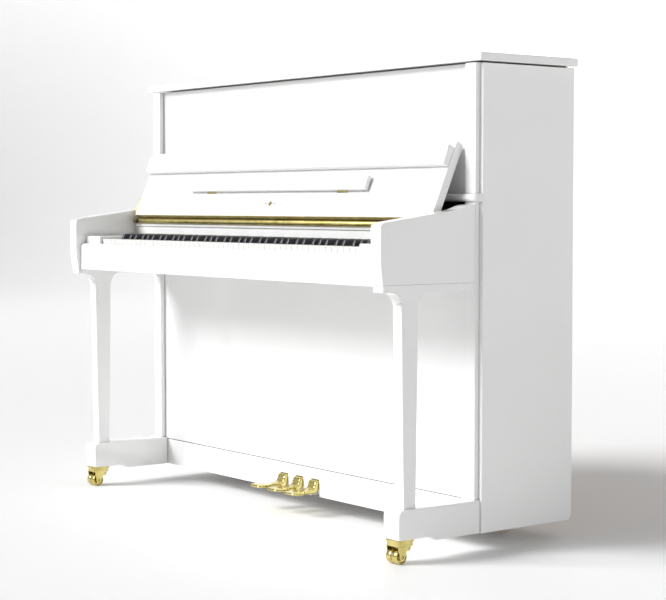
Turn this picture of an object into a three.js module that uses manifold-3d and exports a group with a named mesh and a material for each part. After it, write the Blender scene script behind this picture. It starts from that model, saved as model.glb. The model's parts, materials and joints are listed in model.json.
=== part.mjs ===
// An upright piano in white gloss polyester with brass fittings, opened up for playing.
// Millimetres. X runs along the keyboard from bass to treble, -Y is the player's side, +Z is up.
// The case is drawn about its own front line (Y = 0 is just behind the front panels).
// At the end the whole group moves so that its bounding box is centred on the origin.
import * as THREE from "three";
import { mergeVertices } from "three/addons/utils/BufferGeometryUtils.js";
import Module from "manifold-3d";

const wasm = await Module();
wasm.setup();

// ---------- driving dimensions ----------
const gap = 0.3; // assembly clearance between fixed pieces

const sideOuter = 747; // half the width over the side panels
const sideThick = 30;
const sideFront = -6;
const caseBack = 299.7;
const caseBottom = 48;
const sideTop = 1182;

const lidHalf = 760;
const lidFront = -25.5;
const lidBack = 299.5;
const lidBottom = 1185;
const lidThick = 20;

const stileInner = 697.6; // pilasters on the front edges of the sides
const stileOuter = 736;
const stileFront = -20;
const stileNotchBack = -10; // the ledge moulding is let into the stile as far as this

const panelFront = -5; // front faces of the upper panel, knee panel and bottom rail
const panelThick = 18;
const panelHalf = 714;
const upperPanelTop = 1182.5;
const kneePanelBottom = 126;

const ledgeBottom = 850;
const ledgeTop = 870;
const ledgeFront = -30;

const armOuter = 736.5;
const armFront = -311;
const armBottom = 656;
const armSlope = 0.132; // rise of the arm's top line towards the case

const keybedBottom = 655;
const keybedTop = 690.7;
const keybedFront = -279;
const keybedBack = 140;
const slipFront = -297;
const slipBottom = 652;
const slipTop = 729;

const keyTop = 742;
const keyThick = 20;
const keyFront = -270.8;
const keyBack = 108;
const keyboardWidth = 1225; // fifty-two naturals
const naturalGap = 0.95;
const sharpFront = -220.5;
const sharpBack = -124;
const sharpHeight = 15;
const sharpWidth = 10.4;
const keyCut = 1.2; // clearance between a sharp and the naturals beside it
const keyBlockTop = 751;

const hingeY = -108.5; // the fallboard turns about this line
const hingeZ = 811.3;
const fallLean = 24; // degrees behind vertical when open
const fallHalf = 686;
const fallInner = -7.8; // the board's inner face, towards the player
const fallOuter = 15;
const fallFoot = -2.7;
const fallTip = 199;
const lipFoot = 130.5; // the lip is a slim wedge, thicker towards the board's free edge
const lipTop = 182;
const lipThinner = 17.5;
const lipThicker = 21;

const nameboardFront = -107.7; // the fixed strip under the fallboard, behind the keys
const nameboardBack = -97;
const nameboardBottom = 750;
const nameboardTop = 800;
const backRailBottom = 806;
const backRailTop = 822;
const stripBack = -108; // the long brass strip along the fallboard's foot
const stripTop = 802;
const stripRound = 7.5;

const flapHalf = 410; // music flap on the fallboard
const flapFoot = 67;
const flapHeight = 38.5;
const flapThick = 13.5;
const flapTilt = 4; // degrees that the flap stands off the board

const toeInner = 684;
const toeOuter = 742.7;
const toeFront = -260;
const toeTop = 129;
const toeBottom = 58;

const legTop = 609;
const bracketTop = armBottom - gap;
const plateBottom = 639;

const wheelRadius = 17.5;
const wheelInner = 1.5; // the twin wheels lie between these distances from the caster's middle
const wheelOuter = 19.5;
const axleRadius = 3.3;
const axleHalf = 22.8;
const cheekInner = 20.2; // the fork's cheeks stand outside the wheels
const hoodHalf = 23.5;
const hoodFront = -31; // from the stem's line
const hoodBack = 15.5;
const hoodThick = 15.7;
const wheelRoom = 37; // the lowest a hood may reach above the wheels
const casterTrail = 18.5;
const frontCasterX = 713.5;
const frontCasterY = -226;
const rearCasterX = 515; // under the back frame's foot
const rearCasterY = 246;
const backFrameBottom = 50.3;

const pedalPitch = 72;
const pedalSplay = 9; // the outer pedals' tips lean outwards by this much
const pedalPivotY = 120;
const pedalBarTop = 93;
const pedalBarThick = 13;
const pedalTipFront = -102;
const pedalSlotHalf = 17.8;
const pedalSlotTop = 94.5;
const leverBottom = 106; // underside of the trap levers

const soundboardFront = 196;
const soundboardThick = 8;
const bridgeHeight = 22;

// ---------- finishes ----------
function finish(color, roughness, metalness = 0) {
  return () => new THREE.MeshStandardMaterial({ color, roughness, metalness });
}
const whiteGloss = finish(0xf4f4f2, 0.08);
const brass = finish(0xd6b45c, 0.22, 1);
const spruce = finish(0xdcb67f, 0.55);
const beech = finish(0xc79a66, 0.5);
const goldIron = finish(0xb58a3c, 0.4, 0.6);
const keyWhite = finish(0xfbfaf5, 0.25);
const steel = finish(0xb9bcc0, 0.3, 1);
const felt = finish(0xf0ece0, 0.95);

// ---------- solids ----------
const alongX = new THREE.Matrix4().makeBasis(
  new THREE.Vector3(0, 1, 0),
  new THREE.Vector3(0, 0, 1),
  new THREE.Vector3(1, 0, 0),
);

function box(x0, x1, y0, y1, z0, z1) {
  const g = new THREE.BoxGeometry(x1 - x0, y1 - y0, z1 - z0);
  return g.translate((x0 + x1) / 2, (y0 + y1) / 2, (z0 + z1) / 2);
}

function shapeOf(points) {
  return new THREE.Shape(points.map(([u, v]) => new THREE.Vector2(u, v)));
}

// A YZ outline pushed along X.
function prismX(shape, x0, x1, curveSegments = 6) {
  const g = new THREE.ExtrudeGeometry(shape, { depth: x1 - x0, bevelEnabled: false, curveSegments });
  return g.applyMatrix4(alongX).translate(x0, 0, 0);
}

// An XY outline pushed along Z.
function prismZ(shape, z0, z1, curveSegments = 6) {
  const g = new THREE.ExtrudeGeometry(shape, { depth: z1 - z0, bevelEnabled: false, curveSegments });
  return g.translate(0, 0, z0);
}

// A round bar on the X axis, its sides flat at top and bottom.
function barX(radius, x0, x1, y, z, sides = 12) {
  const reach = radius / Math.cos(Math.PI / sides);
  const g = new THREE.CylinderGeometry(reach, reach, x1 - x0, sides);
  g.rotateY(Math.PI / sides).rotateZ(Math.PI / 2);
  return g.translate((x0 + x1) / 2, y, z);
}

function solid(geometry) {
  const g = geometry.clone();
  g.deleteAttribute("normal");
  g.deleteAttribute("uv");
  const merged = mergeVertices(g, 1e-4);
  return new wasm.Manifold(
    new wasm.Mesh({
      numProp: 3,
      vertProperties: merged.attributes.position.array,
      triVerts: new Uint32Array(merged.index.array),
    }),
  );
}

function geometryOf(manifold) {
  const mesh = manifold.getMesh();
  const g = new THREE.BufferGeometry();
  g.setAttribute("position", new THREE.BufferAttribute(mesh.vertProperties, 3));
  g.setIndex(new THREE.BufferAttribute(mesh.triVerts, 1));
  g.computeVertexNormals();
  return g;
}

function join(...pieces) {
  return geometryOf(pieces.map(solid).reduce((a, b) => a.add(b)));
}

function cut(base, ...tools) {
  return geometryOf(tools.map(solid).reduce((a, b) => a.subtract(b), solid(base)));
}

function common(a, b) {
  return geometryOf(solid(a).intersect(solid(b)));
}

const piano = new THREE.Group();

function add(name, geometry, material, parent = piano) {
  const mesh = new THREE.Mesh(geometry, material());
  mesh.name = name;
  parent.add(mesh);
  return mesh;
}

function group(x, y, z, parent = piano) {
  const g = new THREE.Group();
  g.position.set(x, y, z);
  parent.add(g);
  return g;
}

// The same piece on the bass side (sign -1) and on the treble side (sign 1).
const hands = [
  ["left", -1],
  ["right", 1],
];

function span(sign, inner, outer) {
  return sign < 0 ? [-outer, -inner] : [inner, outer];
}

// ---------- case ----------
function buildCase() {
  for (const [hand, sign] of hands) {
    const [side0, side1] = span(sign, sideOuter - sideThick, sideOuter);
    add(`side_panel_${hand}`, prismX(sideOutline(), side0, side1), whiteGloss);
    const [stile0, stile1] = span(sign, stileInner, stileOuter);
    add(`stile_${hand}`, stileShape(stile0, stile1), whiteGloss);
  }
  const inner = sideOuter - sideThick - gap;
  const panelBack = panelFront + panelThick;
  const upper = box(-panelHalf, panelHalf, panelFront, panelBack, ledgeTop + gap, upperPanelTop);
  add("upper_panel", upper, whiteGloss);
  const knee = box(-panelHalf, panelHalf, panelFront, panelBack, kneePanelBottom, keybedBottom - gap);
  add("knee_panel", knee, whiteGloss);
  add("ledge_rail", ledgeShape(), whiteGloss);
  add("bottom_rail", bottomRailShape(inner), whiteGloss);
  add("bottom_board", bottomBoardShape(inner), beech);
}

// A side panel, cut off at an angle where it would scrape the floor when the piano is tipped back.
function sideOutline() {
  const heel = 9;
  return shapeOf([
    [sideFront, caseBottom],
    [sideFront, sideTop],
    [caseBack, sideTop],
    [caseBack, caseBottom + heel],
    [caseBack - heel, caseBottom],
  ]);
}

// A pilaster, notched where the ledge moulding passes across it.
function stileShape(x0, x1) {
  const notchTop = ledgeTop + gap;
  const notchBottom = ledgeBottom - gap;
  return cut(
    box(x0, x1, stileFront, sideFront - gap, toeTop + gap, upperPanelTop),
    box(x0 - 1, x1 + 1, stileFront - 1, stileNotchBack, notchBottom, notchTop),
  );
}

// A half-round moulding across the whole front, let into the stiles and wrapping the side panels' edges.
function ledgeShape() {
  const r = (ledgeTop - ledgeBottom) / 2;
  const back = panelFront - gap;
  const nose = new THREE.Shape();
  nose.moveTo(back, ledgeBottom);
  nose.lineTo(back, ledgeTop);
  nose.lineTo(ledgeFront + r, ledgeTop);
  nose.absarc(ledgeFront + r, ledgeBottom + r, r, Math.PI / 2, (3 * Math.PI) / 2, false);
  const bar = prismX(nose, -sideOuter, sideOuter, 10);
  const corner = 16; // the moulding's ends are rounded in plan
  const plan = new THREE.Shape();
  plan.moveTo(-sideOuter, 0);
  plan.lineTo(-sideOuter, ledgeFront + corner);
  plan.absarc(-sideOuter + corner, ledgeFront + corner, corner, Math.PI, 1.5 * Math.PI, false);
  plan.lineTo(sideOuter - corner, ledgeFront);
  plan.absarc(sideOuter - corner, ledgeFront + corner, corner, 1.5 * Math.PI, 2 * Math.PI, false);
  plan.lineTo(sideOuter, 0);
  const rebates = [];
  for (const [, sign] of hands) {
    const [stile0, stile1] = span(sign, stileInner - gap, stileOuter + gap);
    rebates.push(box(stile0, stile1, stileNotchBack - gap, 0, ledgeBottom - 1, ledgeTop + 1));
    const [edge0, edge1] = span(sign, stileOuter, sideOuter + 1);
    rebates.push(box(edge0, edge1, sideFront - gap, 0, ledgeBottom - 1, ledgeTop + 1));
  }
  return cut(common(bar, prismZ(plan, ledgeBottom - 1, ledgeTop + 1, 8)), ...rebates);
}

// The pedals come out through three notches in the lower edge.
function bottomRailShape(inner) {
  const notches = [-pedalPitch, 0, pedalPitch].map((x) =>
    box(x - pedalSlotHalf, x + pedalSlotHalf, panelFront - 1, 20, caseBottom - 1, pedalSlotTop),
  );
  return cut(box(-inner, inner, panelFront, panelFront + 22, caseBottom, 124), ...notches);
}

function bottomBoardShape(inner) {
  const postTop = leverBottom - 0.6;
  const back = 208; // clear of the rear casters as they swing round
  const posts = trapLevers().map((t) => box(t.pivotX - 8, t.pivotX + 8, t.y0, t.y1, 69, postTop));
  return join(box(-inner, inner, 17.4, back, 50, 70), ...posts);
}

// ---------- lid ----------
function buildLid() {
  add("lid", box(-lidHalf, lidHalf, lidFront, lidBack, lidBottom, lidBottom + lidThick), whiteGloss);
  const knuckle = 3.5;
  const hingeHalf = 716;
  const leaf = box(-hingeHalf, hingeHalf, 300, 302, 1165, 1186);
  add("lid_hinge", join(leaf, barX(knuckle, -hingeHalf, hingeHalf, 300 + knuckle, lidBottom + 1, 10)), brass);
}

// ---------- arms, legs and toe blocks ----------
function armOutline() {
  const crest = (y) => 828 + armSlope * (y + 98);
  const s = new THREE.Shape();
  const r = 11;
  s.moveTo(-305, armBottom);
  s.lineTo(armFront, 709);
  s.lineTo(armFront, crest(armFront) - r);
  s.quadraticCurveTo(armFront, crest(armFront) + 1, armFront + 2 * r, crest(armFront + 2 * r));
  s.lineTo(-88, crest(-88));
  s.bezierCurveTo(-68, 832, -56, 842, -32, 843.5);
  s.lineTo(stileFront - gap, 845);
  s.lineTo(stileFront - gap, armBottom);
  return s;
}

function bracketOutline() {
  const s = new THREE.Shape();
  s.moveTo(-303, bracketTop);
  s.lineTo(-303, plateBottom);
  s.lineTo(-283, plateBottom);
  s.bezierCurveTo(-262, plateBottom - 1, -250, plateBottom - 12, -246, legTop);
  s.lineTo(-194, legTop);
  s.bezierCurveTo(-190, plateBottom - 12, -180, plateBottom - 1, -162, plateBottom);
  s.lineTo(stileFront - gap, plateBottom);
  s.lineTo(stileFront - gap, bracketTop);
  return s;
}

function toeOutline() {
  const r = 15;
  const back = sideFront - gap;
  const s = new THREE.Shape();
  s.moveTo(toeFront, toeBottom);
  s.lineTo(toeFront, toeTop - r);
  s.absarc(toeFront + r, toeTop - r, r, Math.PI, Math.PI / 2, true);
  s.lineTo(back, toeTop);
  s.lineTo(back, caseBottom);
  s.lineTo(-142, caseBottom);
  s.bezierCurveTo(-158, caseBottom, -154, toeBottom, -172, toeBottom);
  return s;
}

function buildLegs() {
  for (const [hand, sign] of hands) {
    const [arm0, arm1] = span(sign, stileInner, armOuter);
    add(`arm_${hand}`, prismX(armOutline(), arm0, arm1, 12), whiteGloss);
    const [plate0, plate1] = span(sign, 698, 735.5);
    add(`leg_bracket_${hand}`, prismX(bracketOutline(), plate0, plate1, 10), whiteGloss);
    const [leg0, leg1] = span(sign, 700, 733);
    const shaft = shapeOf([
      [-246, legTop - gap],
      [-238, toeTop + gap],
      [-201, toeTop + gap],
      [-194, legTop - gap],
    ]);
    add(`leg_${hand}`, prismX(shaft, leg0, leg1), whiteGloss);
    const [toe0, toe1] = span(sign, toeInner, toeOuter);
    add(`toe_block_${hand}`, prismX(toeOutline(), toe0, toe1, 8), whiteGloss);
  }
}

// ---------- keyboard ----------
const pitch = keyboardWidth / 52;
const keyLeft = -keyboardWidth / 2;
// Places of the sharps after each natural of an octave that starts on C; null where there is none.
const sharpShift = { C: -2.6, D: 2.6, E: null, F: -3.8, G: 0, A: 3.8, B: null };
const letters = "CDEFGAB";

// The fifty-two naturals from A0 to C8, each with the sharp that follows it.
function naturals() {
  const keys = [];
  for (let i = 0; i < 52; i++) {
    const letter = letters[(i + 5) % 7];
    const octave = Math.floor((i + 5) / 7);
    const shift = i < 51 ? sharpShift[letter] : null;
    const x0 = keyLeft + i * pitch;
    const sharpX = shift === null ? null : x0 + pitch + shift;
    keys.push({ name: letter + octave, x0: x0 + naturalGap / 2, x1: x0 + pitch - naturalGap / 2, sharpX });
  }
  return keys;
}

const keyList = naturals();

function naturalShape(i) {
  const key = keyList[i];
  const before = i > 0 ? keyList[i - 1].sharpX : null;
  const clear = sharpWidth / 2 + keyCut;
  const left = before === null ? key.x0 : Math.max(key.x0, before + clear);
  const right = key.sharpX === null ? key.x1 : Math.min(key.x1, key.sharpX - clear);
  const shoulder = sharpFront - keyCut;
  const points = [[key.x0, keyFront], [key.x1, keyFront], [key.x1, shoulder]];
  if (right < key.x1) points.push([right, shoulder]);
  points.push([right, keyBack], [left, keyBack]);
  if (left > key.x0) points.push([left, shoulder]);
  points.push([key.x0, shoulder]);
  return prismZ(shapeOf(points), keyTop - keyThick, keyTop);
}

// A sharp with its sloping front, on its own key stick.
function sharpShape(x) {
  const z0 = keyTop - keyThick;
  const z1 = keyTop + sharpHeight;
  const side = shapeOf([
    [sharpFront, z0],
    [sharpFront, keyTop + 1],
    [sharpFront + 6, z1 - 1],
    [sharpBack, z1],
    [sharpBack, keyTop],
    [keyBack, keyTop],
    [keyBack, z0],
  ]);
  return prismX(side, x - sharpWidth / 2, x + sharpWidth / 2);
}

function keyBlock(first, last) {
  const pieces = [];
  for (let i = first; i <= last; i++) {
    pieces.push(naturalShape(i));
    if (keyList[i].sharpX !== null) pieces.push(sharpShape(keyList[i].sharpX));
  }
  const [x0, x1] = [keyList[first].x0 + 2, keyList[last].x1 - 2];
  const web = box(x0, x1, keyBack - 18, keyBack - 2, keyTop - 16, keyTop - 4);
  return join(...pieces, web);
}

function buildKeyboard() {
  const half = stileInner - gap;
  add("keybed", box(-half, half, keybedFront, keybedBack, keybedBottom, keybedTop), beech);
  add("key_frame", keyFrameShape(), beech);
  const slip = new THREE.Shape();
  slip.moveTo(slipFront, slipBottom);
  slip.lineTo(slipFront, slipTop - 10);
  slip.absarc(slipFront + 10, slipTop - 10, 10, Math.PI, Math.PI / 2, true);
  slip.lineTo(keybedFront - gap, slipTop);
  slip.lineTo(keybedFront - gap, slipBottom);
  add("key_slip", prismX(slip, -half, half, 8), whiteGloss);
  for (const [hand, sign] of hands) {
    const [x0, x1] = span(sign, keyboardWidth / 2 + 1, half);
    add(`key_block_${hand}`, box(x0, x1, keybedFront, -118, keybedTop + gap, keyBlockTop), whiteGloss);
  }
  const middleC = keyList.findIndex((k) => k.name === "C4");
  add("keys_bass", keyBlock(0, middleC - 1), keyWhite);
  add("keys_treble", keyBlock(middleC + 3, 51), keyWhite);
  for (let i = middleC; i < middleC + 3; i++) {
    const key = keyList[i];
    add(`key_${key.name}`, naturalShape(i), keyWhite);
    if (key.sharpX !== null) {
      add(`key_${key.name[0]}sharp${key.name[1]}`, sharpShape(key.sharpX), finish(0x0c0c0d, 0.35));
    }
  }
}

// Front, balance and back rails tied by four sleepers.
function keyFrameShape() {
  const z0 = keybedTop + gap;
  const half = keyboardWidth / 2 - 2;
  const rails = [[-262, -236], [-60, -30], [72, 100]].map(([y0, y1]) => box(-half, half, y0, y1, z0, 711));
  const sleepers = [-half + 15, -200, 200, half - 15].map((x) => box(x - 15, x + 15, -240, 80, z0, 698));
  return join(...rails, ...sleepers);
}

// ---------- fallboard ----------
function buildFallboard() {
  const tilt = group(0, hingeY, hingeZ);
  tilt.rotation.x = THREE.MathUtils.degToRad(-fallLean);
  const board = shapeOf([
    [fallInner, fallFoot + 2],
    [fallInner, fallTip],
    [fallOuter - 3, fallTip],
    [fallOuter, fallTip - 3],
    [fallOuter, fallFoot],
    [fallInner + 2, fallFoot],
  ]);
  add("fallboard", prismX(board, -fallHalf, fallHalf), whiteGloss, tilt);
  const lipBack = fallInner - gap;
  const lip = shapeOf([
    [lipBack, lipFoot],
    [lipBack, lipTop],
    [lipBack - lipThicker, lipTop],
    [lipBack - lipThinner, lipFoot],
  ]);
  add("fallboard_lip", prismX(lip, -fallHalf, fallHalf), whiteGloss, tilt);
  const flapHinge = group(0, fallInner - 1.2, flapFoot, tilt);
  flapHinge.rotation.x = THREE.MathUtils.degToRad(flapTilt);
  const flap = box(-flapHalf, flapHalf, -flapThick, -0.5, 1.5, 1.5 + flapHeight);
  add("music_flap", flap, whiteGloss, flapHinge);

  const brassStrip = new THREE.Shape();
  brassStrip.moveTo(stripBack, stripTop - 2 * stripRound);
  brassStrip.lineTo(stripBack, stripTop);
  brassStrip.lineTo(stripBack - 5, stripTop);
  const stripMiddle = stripTop - stripRound;
  brassStrip.absarc(stripBack - 5, stripMiddle, stripRound, Math.PI / 2, 1.5 * Math.PI, false);
  add("fallboard_hinge", prismX(brassStrip, -stileInner + 6, stileInner - 6, 8), brass);
  const half = stileInner - gap; // between the arms
  const nameboard = box(-half, half, nameboardFront, nameboardBack, nameboardBottom, nameboardTop);
  add("nameboard", nameboard, whiteGloss);
  add("fallboard_back_rail", prismX(backRailOutline(), -half, half), whiteGloss);
}

// The fixed board behind the fallboard, low down between the arms, its front edge eased.
function backRailOutline() {
  const back = panelFront - 1;
  const s = new THREE.Shape();
  s.moveTo(-88, backRailBottom);
  s.lineTo(-84, backRailTop - 8);
  s.quadraticCurveTo(-80, backRailTop - 1, -66, backRailTop);
  s.lineTo(back, backRailTop);
  s.lineTo(back, backRailBottom);
  return s;
}

// ---------- pedals and trap levers ----------
function trapLevers() {
  return [
    { name: "soft", near: -pedalPitch + 12, far: -520, pivotX: -300, y0: 58, y1: 74 },
    { name: "practice", near: 12, far: -420, pivotX: -200, y0: 88, y1: 104 },
    { name: "sustain", near: pedalPitch - 12, far: 520, pivotX: 300, y0: 58, y1: 74 },
  ];
}

function pedalShape(sway) {
  const side = new THREE.Shape();
  const barBottom = pedalBarTop - pedalBarThick;
  side.moveTo(pedalPivotY + 10, barBottom);
  side.lineTo(pedalPivotY + 10, pedalBarTop);
  side.lineTo(-6, pedalBarTop);
  side.bezierCurveTo(-13, pedalBarTop - 0.5, -17, pedalBarTop - 8, -18, 78);
  side.bezierCurveTo(-20, 70, -30, 69, -46, 68);
  side.bezierCurveTo(-66, 67, -80, 71, pedalTipFront + 4, 69);
  side.lineTo(pedalTipFront, 66);
  side.lineTo(pedalTipFront + 1, 62);
  side.bezierCurveTo(-82, 62, -64, 58, -44, 57);
  side.bezierCurveTo(-20, 56, -6, 58, -2, 70);
  side.lineTo(-1, barBottom);
  const bar = 10;
  const neck = 17;
  const tip = 25;
  const front = pedalTipFront - 1;
  const plan = new THREE.Shape();
  plan.moveTo(-bar, pedalPivotY + 20);
  plan.lineTo(-bar, 30);
  plan.lineTo(-neck, 18);
  plan.lineTo(-neck, -28);
  plan.bezierCurveTo(-neck, -40, -12 + sway * 0.3, -43, -12 + sway * 0.5, -50);
  plan.bezierCurveTo(-13 + sway, -59, -tip + sway, -61, -tip + sway, -74);
  plan.lineTo(-tip + sway, front + 15);
  plan.bezierCurveTo(-tip + sway, front + 1, -tip + 8 + sway, front, sway, front);
  plan.bezierCurveTo(tip - 8 + sway, front, tip + sway, front + 1, tip + sway, front + 15);
  plan.lineTo(tip + sway, -74);
  plan.bezierCurveTo(tip + sway, -61, 13 + sway, -59, 12 + sway * 0.5, -50);
  plan.bezierCurveTo(12 + sway * 0.3, -43, neck, -40, neck, -28);
  plan.lineTo(neck, 18);
  plan.lineTo(bar, 30);
  plan.lineTo(bar, pedalPivotY + 20);
  return common(prismX(side, -60, 60, 8), prismZ(plan, 40, 120, 7));
}

function buildPedals() {
  const places = [["soft", -1], ["practice", 0], ["sustain", 1]];
  for (const [name, side] of places) {
    add(`pedal_${name}`, pedalShape(side * pedalSplay), brass, group(side * pedalPitch, 0, 0));
  }
  for (const t of trapLevers()) {
    const x0 = Math.min(t.near, t.far);
    const x1 = Math.max(t.near, t.far);
    add(`trap_lever_${t.name}`, box(x0, x1, t.y0, t.y1, leverBottom, leverBottom + 22), beech);
  }
}

// ---------- casters ----------
// The fork turns about its stem: a square hood with two tapering cheeks and a bore for the axle.
function forkShape(headTop) {
  const hoodBottom = Math.max(headTop - hoodThick, wheelRoom);
  const r = 6;
  const plan = new THREE.Shape();
  plan.moveTo(-hoodHalf, hoodFront + r);
  plan.absarc(-hoodHalf + r, hoodFront + r, r, Math.PI, 1.5 * Math.PI, false);
  plan.absarc(hoodHalf - r, hoodFront + r, r, 1.5 * Math.PI, 2 * Math.PI, false);
  plan.absarc(hoodHalf - r, hoodBack - r, r, 0, 0.5 * Math.PI, false);
  plan.absarc(-hoodHalf + r, hoodBack - r, r, 0.5 * Math.PI, Math.PI, false);
  const axle = -casterTrail;
  const foot = 8;
  const cheek = new THREE.Shape();
  cheek.moveTo(hoodFront + 1, hoodBottom + 1);
  cheek.lineTo(axle - 9, wheelRadius);
  cheek.quadraticCurveTo(axle - 7, foot, axle, foot);
  cheek.quadraticCurveTo(axle + 6, foot, axle + 8, wheelRadius - 2);
  cheek.bezierCurveTo(axle + 10, 26, axle + 14, 33, 4, hoodBottom + 1);
  const cheeks = [-1, 1].map((s) => prismX(cheek, ...span(s, cheekInner, hoodHalf), 8));
  const bore = barX(axleRadius + 0.6, -hoodHalf - 1, hoodHalf + 1, -casterTrail, wheelRadius, 16);
  return cut(join(prismZ(plan, hoodBottom, headTop, 5), ...cheeks), bore);
}

// Twin wheels with their hub and axle, in one turning.
function wheelsShape() {
  const hub = 8;
  const round = 2;
  const half = [
    [0, -axleHalf],
    [axleRadius, -axleHalf],
    [axleRadius, -wheelOuter],
    [wheelRadius - round, -wheelOuter],
    [wheelRadius, -wheelOuter + round],
    [wheelRadius, -wheelInner - round],
    [wheelRadius - round, -wheelInner],
    [hub, -wheelInner],
  ];
  const profile = [...half, ...half.map(([r, x]) => [r, -x]).reverse()];
  const sides = 20;
  const reach = 1 / Math.cos(Math.PI / sides);
  const lathe = new THREE.LatheGeometry(
    profile.map(([r, x]) => new THREE.Vector2(r * reach, x)),
    sides,
  );
  return lathe.rotateY(Math.PI / sides).rotateZ(-Math.PI / 2);
}

function buildCasters() {
  for (const [hand, sign] of hands) {
    const corners = [
      ["front", frontCasterX, frontCasterY, 1, toeBottom - gap],
      ["rear", rearCasterX, rearCasterY, -1, backFrameBottom - gap],
    ];
    for (const [end, x, y, facing, top] of corners) {
      const swivel = group(sign * x, y, 0);
      swivel.rotation.z = facing < 0 ? Math.PI : 0;
      add(`caster_fork_${end}_${hand}`, forkShape(top), brass, swivel);
      const axle = group(0, -casterTrail, wheelRadius, swivel);
      add(`caster_wheels_${end}_${hand}`, wheelsShape(), brass, axle);
    }
  }
}

// ---------- back, harp and action ----------
function buildBack() {
  const inner = sideOuter - sideThick - gap;
  const posts = [-620, -310, 0, 310, 620].map((x) => box(x - 30, x + 30, 230, caseBack, 100, 1100));
  const topBeam = box(-inner, inner, 230, caseBack, 1056, 1180);
  const footBeam = box(-inner, inner, 230, caseBack, backFrameBottom, 160);
  add("back_frame", join(topBeam, footBeam, ...posts), beech);

  const ribs = [];
  for (let i = 0; i < 8; i++) {
    const rib = new THREE.BoxGeometry(420 + 260 * Math.sin((Math.PI * (i + 0.7)) / 8), 19, 14);
    rib.rotateY(THREE.MathUtils.degToRad(48));
    rib.translate(-330 + i * 92, soundboardFront + soundboardThick + 6.5, 330 + i * 75);
    ribs.push(rib);
  }
  const board = box(-700, 700, soundboardFront, soundboardFront + soundboardThick, 162, 1050);
  const rim = box(-700, 700, soundboardFront, soundboardFront + 29, 162, 1050);
  add("soundboard", geometryOf(solid(join(board, ...ribs)).intersect(solid(rim))), spruce);

  const struts = [-560, -330, -60, 220, 480].map((x) => box(x - 10, x + 10, 142, 168, 200, 1060));
  const head = box(-690, 690, 156, 188, 1000, 1150);
  const foot = box(-690, 690, 156, 188, 140, 260);
  const cheeks = [-1, 1].map((s) => box(s * 675 - 15, s * 675 + 15, 156, 188, 200, 1060));
  add("iron_plate", join(head, foot, ...cheeks, ...struts), goldIron);
  add("pin_block", box(-690, 690, 188 + gap, 230 - gap, 1056, 1150), beech);

  const bridgeBack = soundboardFront - gap;
  const places = [
    ["treble_bridge", 1010, -30, 40, 640],
    ["bass_bridge", 330, -12, 360, 330],
  ];
  for (const [name, length, turn, x, z] of places) {
    const bridge = new THREE.BoxGeometry(length, bridgeHeight, 32).rotateY(THREE.MathUtils.degToRad(turn));
    add(name, bridge.translate(x, bridgeBack - bridgeHeight / 2, z), beech);
  }
}

function buildAction() {
  const foot = 691.2;
  const bracket = shapeOf([
    [116, foot],
    [139, foot],
    [141, 1110],
    [134, 1110],
    [132, 975],
    [60, 960],
    [45, 800],
    [112, 780],
  ]);
  const brackets = [-640, -215, 215, 640].map((x) => prismX(bracket, x - 5, x + 5));
  const mainRail = box(-645, 645, 92, 112, 868, 896);
  const damperRail = box(-645, 645, 118, 130, 930, 950);
  const keyRail = box(-645, 645, 50, 60, 820, 840);
  add("action_frame", join(...brackets, mainRail, damperRail, keyRail), steel);
  const hammerRow = shapeOf([
    [62, 985],
    [88, 985],
    [104, 1006],
    [124, 1010],
    [128, 1024],
    [104, 1036],
    [66, 1020],
  ]);
  add("hammer_row", prismX(hammerRow, -625, 625), felt);
}

buildCase();
buildLid();
buildLegs();
buildKeyboard();
buildFallboard();
buildPedals();
buildCasters();
buildBack();
buildAction();

// The arms reach forward to armFront and the lid hinge back to the knuckle's far side.
const hingeBack = 307;
piano.position.y = -(armFront + hingeBack) / 2;

export default piano;
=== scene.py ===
import json
import math

import bmesh
import bpy
from mathutils import Matrix, Vector


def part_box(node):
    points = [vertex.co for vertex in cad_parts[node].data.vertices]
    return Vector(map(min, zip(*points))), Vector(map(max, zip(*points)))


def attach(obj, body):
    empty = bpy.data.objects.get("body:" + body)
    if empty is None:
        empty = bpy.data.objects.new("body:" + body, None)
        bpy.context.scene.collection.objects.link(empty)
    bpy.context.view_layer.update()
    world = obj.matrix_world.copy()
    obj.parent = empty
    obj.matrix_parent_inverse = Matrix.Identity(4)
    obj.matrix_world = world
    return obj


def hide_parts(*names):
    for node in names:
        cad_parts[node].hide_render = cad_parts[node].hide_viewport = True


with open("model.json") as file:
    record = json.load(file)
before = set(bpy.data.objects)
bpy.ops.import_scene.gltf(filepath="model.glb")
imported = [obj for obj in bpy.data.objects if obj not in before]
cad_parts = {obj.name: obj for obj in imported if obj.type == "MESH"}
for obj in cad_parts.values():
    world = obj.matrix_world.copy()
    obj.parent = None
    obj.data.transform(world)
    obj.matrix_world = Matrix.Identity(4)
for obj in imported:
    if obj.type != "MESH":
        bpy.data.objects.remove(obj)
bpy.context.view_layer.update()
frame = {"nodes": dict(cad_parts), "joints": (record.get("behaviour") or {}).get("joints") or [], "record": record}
nodes = frame["nodes"]
bodies = frame["record"]["behaviour"]["bodies"]
bodyOf = {node: body for body, members in bodies.items() for node in members}
jointOf = {joint["name"]: joint for joint in frame["joints"]}
millimetre = 0.001
mergeWithin = 2e-6  # corners closer than this are one
print("frame loaded:", len(nodes), "nodes")


# camera, light and floor
view = {
    "place": (3.8134, -2.7902, 0.8428),
    "turn": 52.71,  # degrees from +Y towards -X
    "dip": 3.17,
    "lens": 93.06,
    "sensor": 36.0,
    "farthest": 200,
}


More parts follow.
